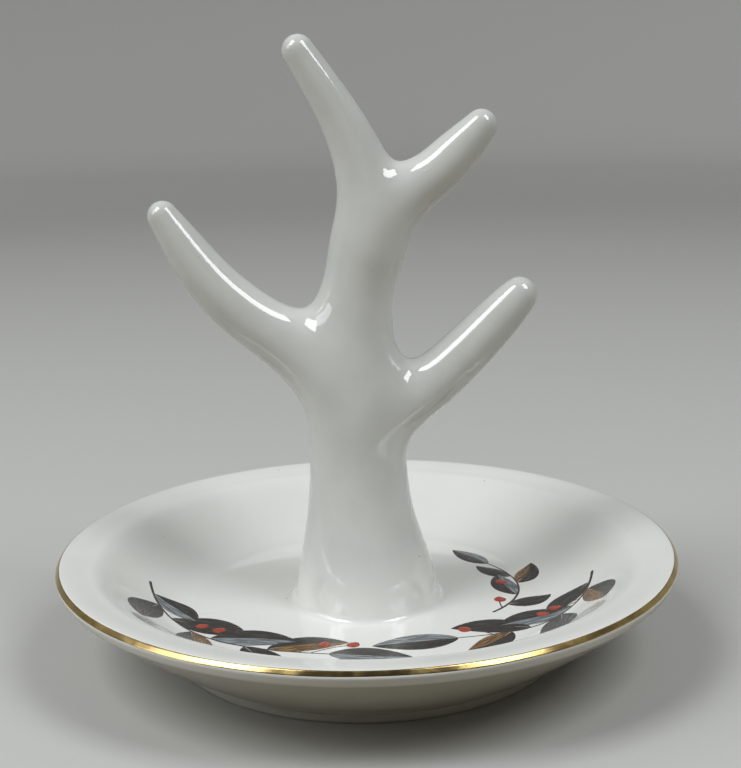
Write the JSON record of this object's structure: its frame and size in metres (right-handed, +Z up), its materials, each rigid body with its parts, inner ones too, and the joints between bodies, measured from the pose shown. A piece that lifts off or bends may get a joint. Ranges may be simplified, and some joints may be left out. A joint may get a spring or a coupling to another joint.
{
  "type": "ring holder",
  "caption": "Porcelain ring holder: a shallow round dish with a gilt rim line, and a small bare tree standing in it whose upswept limbs hold finger rings.",
  "frame": {"origin": "centre of the foot ring's flat face, on the surface that the dish stands on", "axes": "+Z up, +X to the right and -Y to the front as seen with the tree's lone long limb at the left; all limbs lie in the X-Z plane"},
  "size_m": [0.1084, 0.1084, 0.1061],
  "materials": {
    "porcelain": "white porcelain under a clear, very glossy glaze",
    "gilding": "bright burnished gold lustre, a little worn"
  },
  "bodies": {
    "root": {"dish": "porcelain", "ring_tree": "porcelain", "joining_slip_fillet": "porcelain", "gilt_rim_line": "gilding"}
  },
  "joints": []
}
